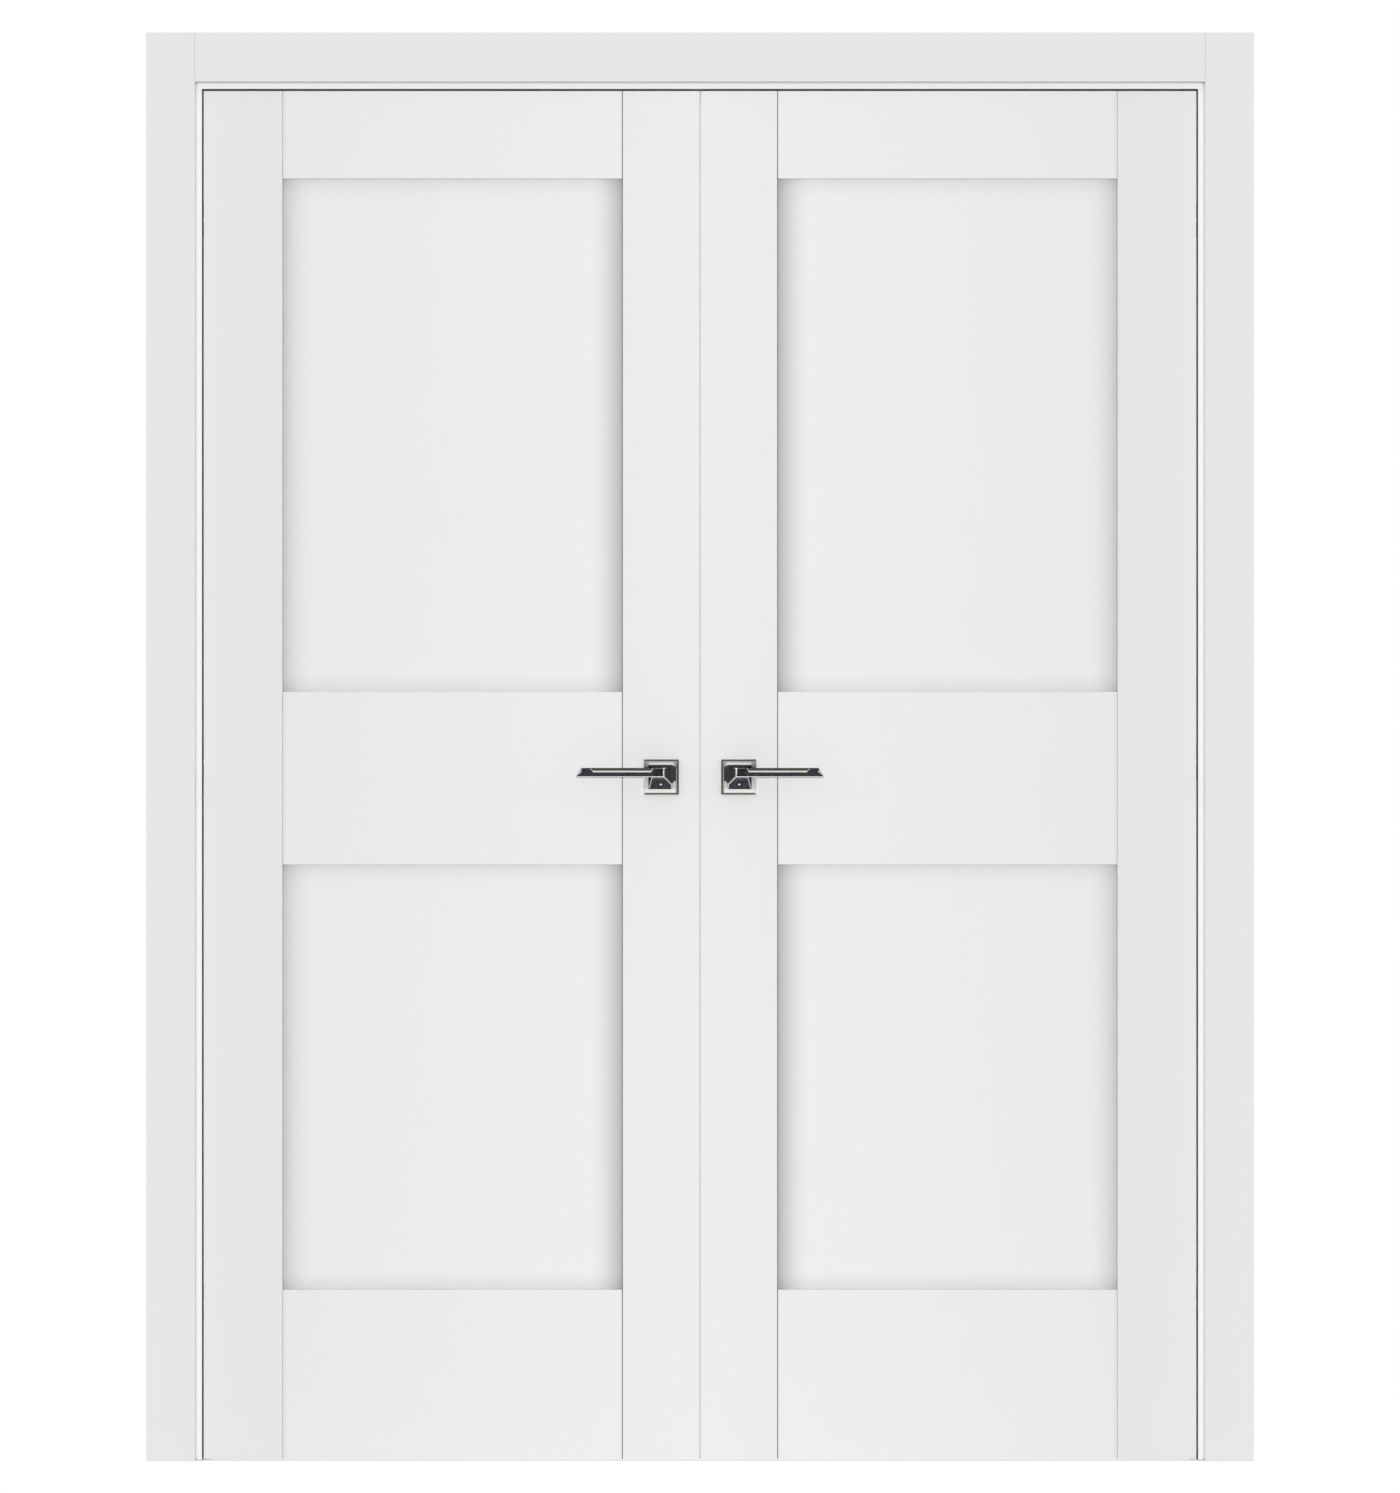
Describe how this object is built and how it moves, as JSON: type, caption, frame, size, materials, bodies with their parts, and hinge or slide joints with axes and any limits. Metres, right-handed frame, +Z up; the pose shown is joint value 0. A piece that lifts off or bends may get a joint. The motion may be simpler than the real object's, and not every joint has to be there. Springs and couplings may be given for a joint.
{
  "type": "prehung double door",
  "caption": "Prehung interior double door: flat-panel white leaves on concealed hinges in a cased frame, with square-rose levers, a magnetic latch and a flush bolt.",
  "frame": {"origin": "on the floor under the meeting line, midway between the foremost and rearmost point", "axes": "+Z up, the front (pull side) faces -Y, +X to the right seen from the front"},
  "size_m": [1.644, 0.187, 2.119],
  "materials": {
    "leaf_lacquer": "satin white lacquer with a faint vertical grain",
    "panel_lacquer": "satin white lacquer with a faint vertical grain",
    "jamb_lacquer": "satin white lacquer with a faint vertical grain",
    "casing_lacquer": "satin white lacquer with a faint vertical grain",
    "gasket_rubber": "soft grey",
    "seal_silicone": "soft pale grey",
    "hinge_zinc": "dark satin cast zinc",
    "plated_steel": "zinc plated",
    "satin_nickel": "satin nickel",
    "polished_chrome": "polished chrome",
    "champagne_inlay": "brushed champagne nickel"
  },
  "bodies": {
    "frame": {"head_jamb": "jamb_lacquer", "head_gasket": "gasket_rubber", "front_head_casing": "casing_lacquer", "back_head_casing": "casing_lacquer", "head_strike": "plated_steel", "left_jamb": "jamb_lacquer", "left_gasket": "gasket_rubber", "left_front_casing": "casing_lacquer", "left_back_casing": "casing_lacquer", "left_frame_hinge_cups": "hinge_zinc", "left_frame_hinge_screws": "plated_steel", "right_jamb": "jamb_lacquer", "right_gasket": "gasket_rubber", "right_front_casing": "casing_lacquer", "right_back_casing": "casing_lacquer", "right_frame_hinge_cups": "hinge_zinc", "right_frame_hinge_screws": "plated_steel"},
    "left_leaf": {"left_hinge_stile": "leaf_lacquer", "left_meeting_stile": "leaf_lacquer", "left_top_rail": "leaf_lacquer", "left_lock_rail": "leaf_lacquer", "left_bottom_rail": "leaf_lacquer", "left_upper_panel": "panel_lacquer", "left_lower_panel": "panel_lacquer", "left_front_rose": "satin_nickel", "left_back_rose": "satin_nickel", "left_rose_bases": "hinge_zinc", "left_rose_bolts": "plated_steel", "left_leaf_hinge_cups": "hinge_zinc", "left_leaf_hinge_screws": "plated_steel", "strike_plate": "satin_nickel", "flush_bolt_case": "satin_nickel", "meeting_seal": "seal_silicone"},
    "left_hinge_arms": {"left_hinge_arms": "satin_nickel"},
    "left_lever": {"left_front_lever": "polished_chrome", "left_back_lever": "polished_chrome", "left_lever_inlays": "champagne_inlay", "left_spindle": "plated_steel"},
    "right_leaf": {"right_hinge_stile": "leaf_lacquer", "right_meeting_stile": "leaf_lacquer", "right_top_rail": "leaf_lacquer", "right_lock_rail": "leaf_lacquer", "right_bottom_rail": "leaf_lacquer", "right_upper_panel": "panel_lacquer", "right_lower_panel": "panel_lacquer", "right_front_rose": "satin_nickel", "right_back_rose": "satin_nickel", "right_rose_bases": "hinge_zinc", "right_rose_bolts": "plated_steel", "right_leaf_hinge_cups": "hinge_zinc", "right_leaf_hinge_screws": "plated_steel", "latch_case": "satin_nickel"},
    "right_hinge_arms": {"right_hinge_arms": "satin_nickel"},
    "right_lever": {"right_front_lever": "polished_chrome", "right_back_lever": "polished_chrome", "right_lever_inlays": "champagne_inlay", "right_spindle": "plated_steel"},
    "latch_bolt": {"latch_bolt": "plated_steel"},
    "flush_bolt": {"flush_bolt": "satin_nickel"}
  },
  "joints": [
    {"name": "left_leaf_swing", "type": "hinge", "parent": "frame", "child": "left_leaf", "pos_m": [-0.73775, -0.0385, 1.015], "axis": [0, 0, -1], "range_deg": [0, 105]},
    {"name": "left_hinge_arms_turn", "type": "hinge", "parent": "frame", "child": "left_hinge_arms", "pos_m": [-0.73775, -0.0385, 1.015], "axis": [0, 0, -1], "range_deg": [0, 52.5]},
    {"name": "left_lever_turn", "type": "hinge", "parent": "left_leaf", "child": "left_lever", "pos_m": [-0.0575, -0.0185, 1.015], "axis": [0, -1, 0], "range_deg": [0, 40], "stiffness_Nm_per_rad": 1.5, "springref_deg": -34.38},
    {"name": "right_leaf_swing", "type": "hinge", "parent": "frame", "child": "right_leaf", "pos_m": [0.73775, -0.0385, 1.015], "axis": [0, 0, 1], "range_deg": [0, 105]},
    {"name": "right_hinge_arms_turn", "type": "hinge", "parent": "frame", "child": "right_hinge_arms", "pos_m": [0.73775, -0.0385, 1.015], "axis": [0, 0, 1], "range_deg": [0, 52.5]},
    {"name": "right_lever_turn", "type": "hinge", "parent": "right_leaf", "child": "right_lever", "pos_m": [0.0575, -0.0185, 1.015], "axis": [0, 1, 0], "range_deg": [0, 40], "stiffness_Nm_per_rad": 1.5, "springref_deg": -34.38},
    {"name": "latch_bolt_slide", "type": "slide", "parent": "right_leaf", "child": "latch_bolt", "axis": [-1, 0, 0], "range_m": [0, 0.012], "stiffness_N_per_m": 60, "springref_m": -0.005},
    {"name": "flush_bolt_slide", "type": "slide", "parent": "left_leaf", "child": "flush_bolt", "axis": [0, 0, 1], "range_m": [0, 0.014]}
  ],
  "couplings": [
    {"joint": "left_hinge_arms_turn", "follows": "left_leaf_swing", "ratio": 0.5},
    {"joint": "right_hinge_arms_turn", "follows": "right_leaf_swing", "ratio": 0.5}
  ]
}
